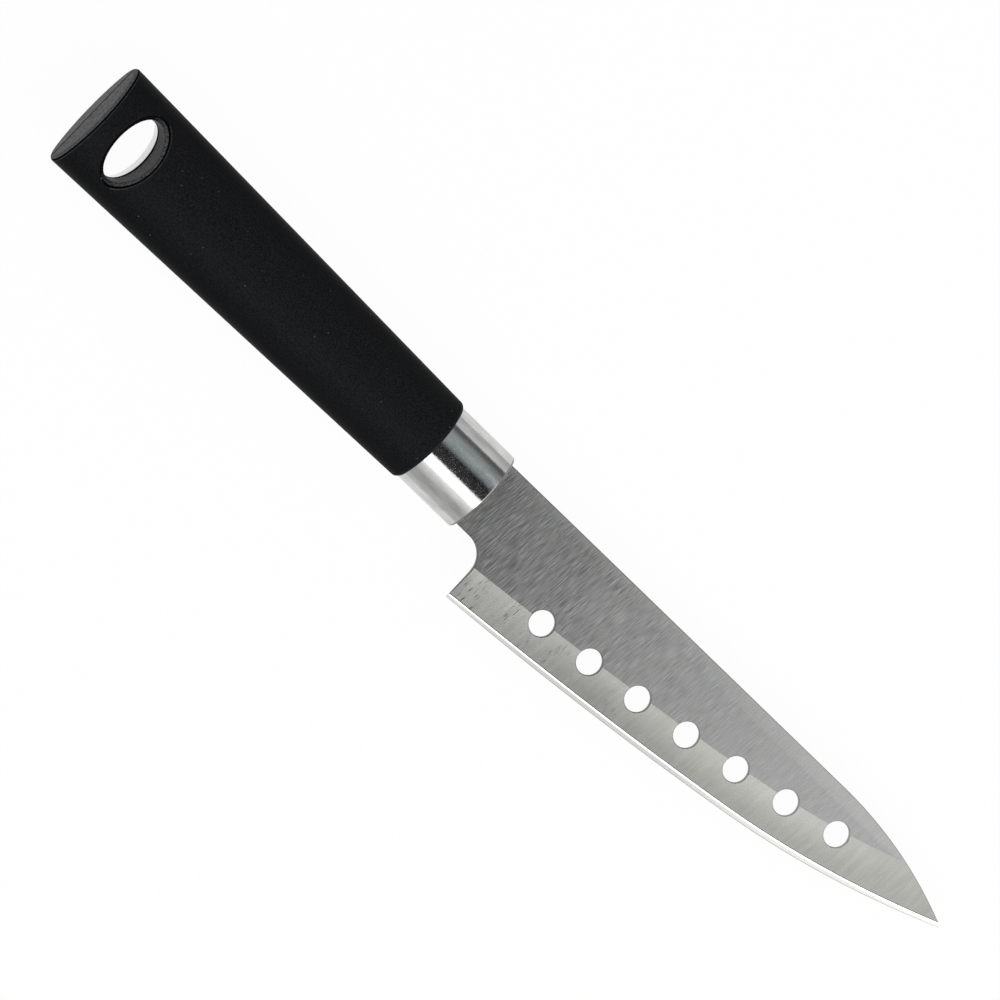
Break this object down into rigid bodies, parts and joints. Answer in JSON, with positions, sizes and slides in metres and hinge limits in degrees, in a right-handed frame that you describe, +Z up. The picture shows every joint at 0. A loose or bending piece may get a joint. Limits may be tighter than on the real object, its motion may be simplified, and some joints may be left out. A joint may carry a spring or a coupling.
{
  "type": "paring knife",
  "caption": "Small kitchen knife with a pierced, ground steel blade, a polished oval ferrule and a two-part black plastic handle with an oval hanging hole.",
  "frame": {"origin": "centre of the bottom of the box round the whole knife as it lies on its side", "axes": "+X from the handle's butt to the blade's tip, +Y from the cutting edge to the spine, +Z up, square to the blade's flat side"},
  "size_m": [0.2292, 0.0304, 0.0158],
  "materials": {
    "blade_steel": "ground stainless steel, brushed square to the spine, with a finer primary grind and a bright sharpened edge",
    "ferrule_steel": "polished stainless steel with fine scuffs",
    "seal_resin": "cast resin, hidden",
    "handle_plastic": "matt moulded plastic with a soft, finely pebbled surface"
  },
  "bodies": {
    "root": {"blade": "blade_steel", "ferrule": "ferrule_steel", "ferrule_seal": "seal_resin", "handle_upper_half": "handle_plastic", "handle_lower_half": "handle_plastic"}
  },
  "joints": []
}
